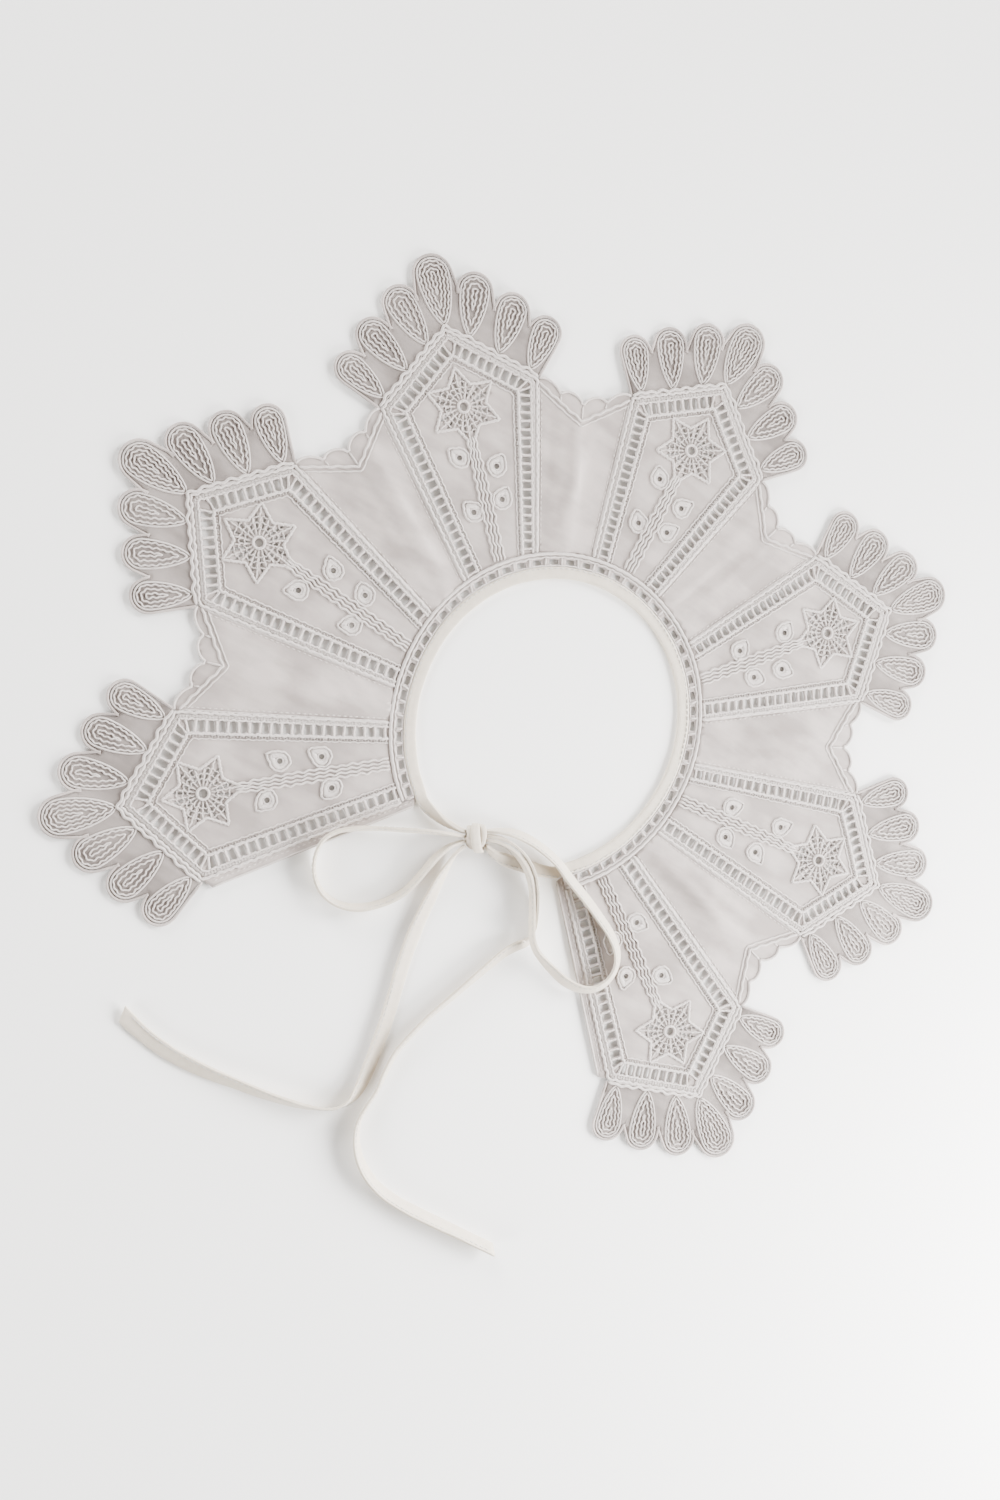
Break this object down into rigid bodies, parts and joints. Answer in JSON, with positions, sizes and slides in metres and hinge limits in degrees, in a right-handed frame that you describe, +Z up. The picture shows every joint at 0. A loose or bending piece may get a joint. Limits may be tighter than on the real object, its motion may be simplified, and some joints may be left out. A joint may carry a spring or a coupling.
{
  "type": "lace collar",
  "caption": "Wide round collar of sheer lawn and cutwork lace with petal-edged panels, laid flat and tied with a bow at the neck.",
  "frame": {"origin": "bottom centre of the collar's own box, without its bow and ties, on the surface that it lies on", "axes": "+Z up, away from the surface that the collar lies on; +Y from the tied front opening towards the middle of the back; +X towards the wearer's left"},
  "size_m": [0.4152, 0.4159, 0.0111],
  "materials": {
    "lawn": "sheer plain-woven cotton lawn",
    "lace": "matt corded embroidery and ladder lace on lawn",
    "tape": "soft folded bias tape, stitched along one edge"
  },
  "bodies": {
    "root": {"neck_binding": "tape", "neck_insertion": "lace", "panel_1": "lace", "panel_2": "lace", "panel_3": "lace", "panel_4": "lace", "panel_5": "lace", "panel_6": "lace", "panel_7": "lace", "petals_1": "lace", "petals_2": "lace", "petals_3": "lace", "petals_4": "lace", "petals_5": "lace", "petals_6": "lace", "petals_7": "lace", "gore_1": "lawn", "gore_2": "lawn", "gore_3": "lawn", "gore_4": "lawn", "gore_5": "lawn", "gore_6": "lawn", "front_hem_right": "lawn", "front_hem_left": "lawn", "tie_knot": "tape", "bow_loop_right": "tape", "bow_loop_left": "tape", "tie_tail_right": "tape", "tie_tail_left": "tape"}
  },
  "joints": []
}
